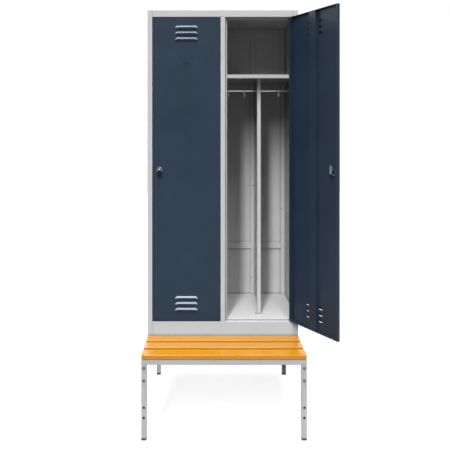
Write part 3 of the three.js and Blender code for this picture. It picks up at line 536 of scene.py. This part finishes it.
def arc(centre, radius, start, end, steps=6):
    """Points of a bend, with its angles in degrees"""
    angles = [math.radians(start + (end - start) * i / steps) for i in range(steps + 1)]
    return [(centre[0] + radius * math.cos(a), centre[1] + radius * math.sin(a)) for a in angles]


def tab_outline():
    """The bent tab seen from the front, with its outer corner at zero"""
    bend = (-TAB_BEND, TAB_BEND)
    outer = [(-TAB_WIDTH, 0), *arc(bend, TAB_BEND, -90, 0), (0, TAB_RISE)]
    inner = [(-SHEET, TAB_RISE), *arc(bend, TAB_BEND - SHEET, 0, -90), (-TAB_WIDTH, SHEET)]
    return outer + inner


def tab(side):
    """A bent tab at the foot of the partition, screwed down to the floor"""
    foot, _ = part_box(f"{side}_partition")
    corner = Vector((foot.x - TAB_GAP, foot.y + SHEET, foot.z))
    mesh = bmesh.new()
    ends = [
        [mesh.verts.new(corner + Vector((x, depth, z))) for x, z in tab_outline()]
        for depth in (0, TAB_DEPTH)
    ]
    count = len(ends[0])
    for i in range(count):
        j = (i + 1) % count
        mesh.faces.new((ends[0][i], ends[0][j], ends[1][j], ends[1][i]))
    mesh.faces.new(list(reversed(ends[0])))
    mesh.faces.new(ends[1])
    bmesh.ops.recalc_face_normals(mesh, faces=mesh.faces)
    piece = made_of(mesh, f"{side}_partition_tab", "grey_paint")
    edge = piece.modifiers.new("edges", "BEVEL")
    edge.width = TAB_EDGE
    edge.segments = 2
    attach(piece, "cabinet")
    screw(f"{side}_tab_screw", corner + Vector((-TAB_WIDTH / 2, TAB_DEPTH / 2, SHEET)), (0, 0, 1))


leg_fittings()
for hand in ("left", "right"):
    strip_screws(hand)
    tab(hand)
flange_screw()


# Studio

def seen_rays(tree):
    """1 for the rays that the camera, a gloss or a glass sends straight to the backdrop, and otherwise 0"""
    path = tree.nodes.new("ShaderNodeLightPath")
    total = path.outputs["Is Camera Ray"]
    for ray in ("Is Glossy Ray", "Is Transmission Ray"):
        larger = tree.nodes.new("ShaderNodeMath")
        larger.operation = "MAXIMUM"
        tree.links.new(total, larger.inputs[0])
        tree.links.new(path.outputs[ray], larger.inputs[1])
        total = larger.outputs[0]
    return total


def floor():
    bpy.ops.mesh.primitive_plane_add(size=FLOOR_SIDE, location=(CENTRE, FRONT, 0))
    plane = bpy.context.object
    plane.name = "studio_floor"
    ground = Surface("studio_floor", Roughness=1, Specular_IOR_Level=0, Emission_Color=(1, 1, 1, 1))
    ground.feed("Base Color", ground.bounce((FLOOR_GREY, FLOOR_GREY, FLOOR_GREY, 1), FLOOR_BOUNCE))
    glow = ground.node(
        "ShaderNodeMath", {0: seen_rays(ground.tree), 1: FLOOR_GLOW}, operation="MULTIPLY").outputs[0]
    ground.feed("Emission Strength", glow)
    plane.data.materials.append(ground.material)


def world():
    made = bpy.data.worlds.new("studio")
    bpy.context.scene.world = made
    made.use_nodes = True
    tree = made.node_tree
    tree.nodes.clear()
    strength = tree.nodes.new("ShaderNodeMapRange")
    strength.inputs["To Min"].default_value = AMBIENT
    strength.inputs["To Max"].default_value = 1
    tree.links.new(seen_rays(tree), strength.inputs["Value"])
    background = tree.nodes.new("ShaderNodeBackground")
    background.inputs["Color"].default_value = (1, 1, 1, 1)
    tree.links.new(strength.outputs["Result"], background.inputs["Strength"])
    output = tree.nodes.new("ShaderNodeOutputWorld")
    tree.links.new(background.outputs[0], output.inputs["Surface"])


def lamps():
    """Lamps at a great distance. Those above the glint ceiling leave no glints on rounded edges."""
    for i, (turn, rise, width, strength) in enumerate(LAMPS):
        lamp = bpy.data.lights.new(f"lamp_{i + 1}", "SUN")
        lamp.energy = strength
        lamp.angle = math.radians(width)
        made = bpy.data.objects.new(lamp.name, lamp)
        bpy.context.scene.collection.objects.link(made)
        made.visible_glossy = rise < GLINT_CEILING
        turn, rise = math.radians(turn), math.radians(rise)
        level = math.cos(rise)
        towards = Vector((math.sin(turn) * level, -math.cos(turn) * level, math.sin(rise)))
        made.rotation_euler = towards.to_track_quat("Z", "Y").to_euler()


def camera():
    lens = bpy.data.cameras.new("camera")
    lens.sensor_width = SENSOR_WIDTH
    lens.lens = SENSOR_WIDTH * FOCAL_PIXELS / PICTURE_SIDE
    lens.shift_x = (PICTURE_SIDE / 2 - FACED_COLUMN) / PICTURE_SIDE
    lens.shift_y = (FACED_ROW - PICTURE_SIDE / 2) / PICTURE_SIDE
    made = bpy.data.objects.new("camera", lens)
    bpy.context.scene.collection.objects.link(made)
    made.location = (CENTRE + CAMERA_OFFSET, FRONT - CAMERA_DISTANCE, CAMERA_HEIGHT)
    made.rotation_euler = (math.pi / 2, 0, 0)
    bpy.context.scene.camera = made


floor()
world()
lamps()
camera()
bpy.context.scene.view_settings.view_transform = "Standard"
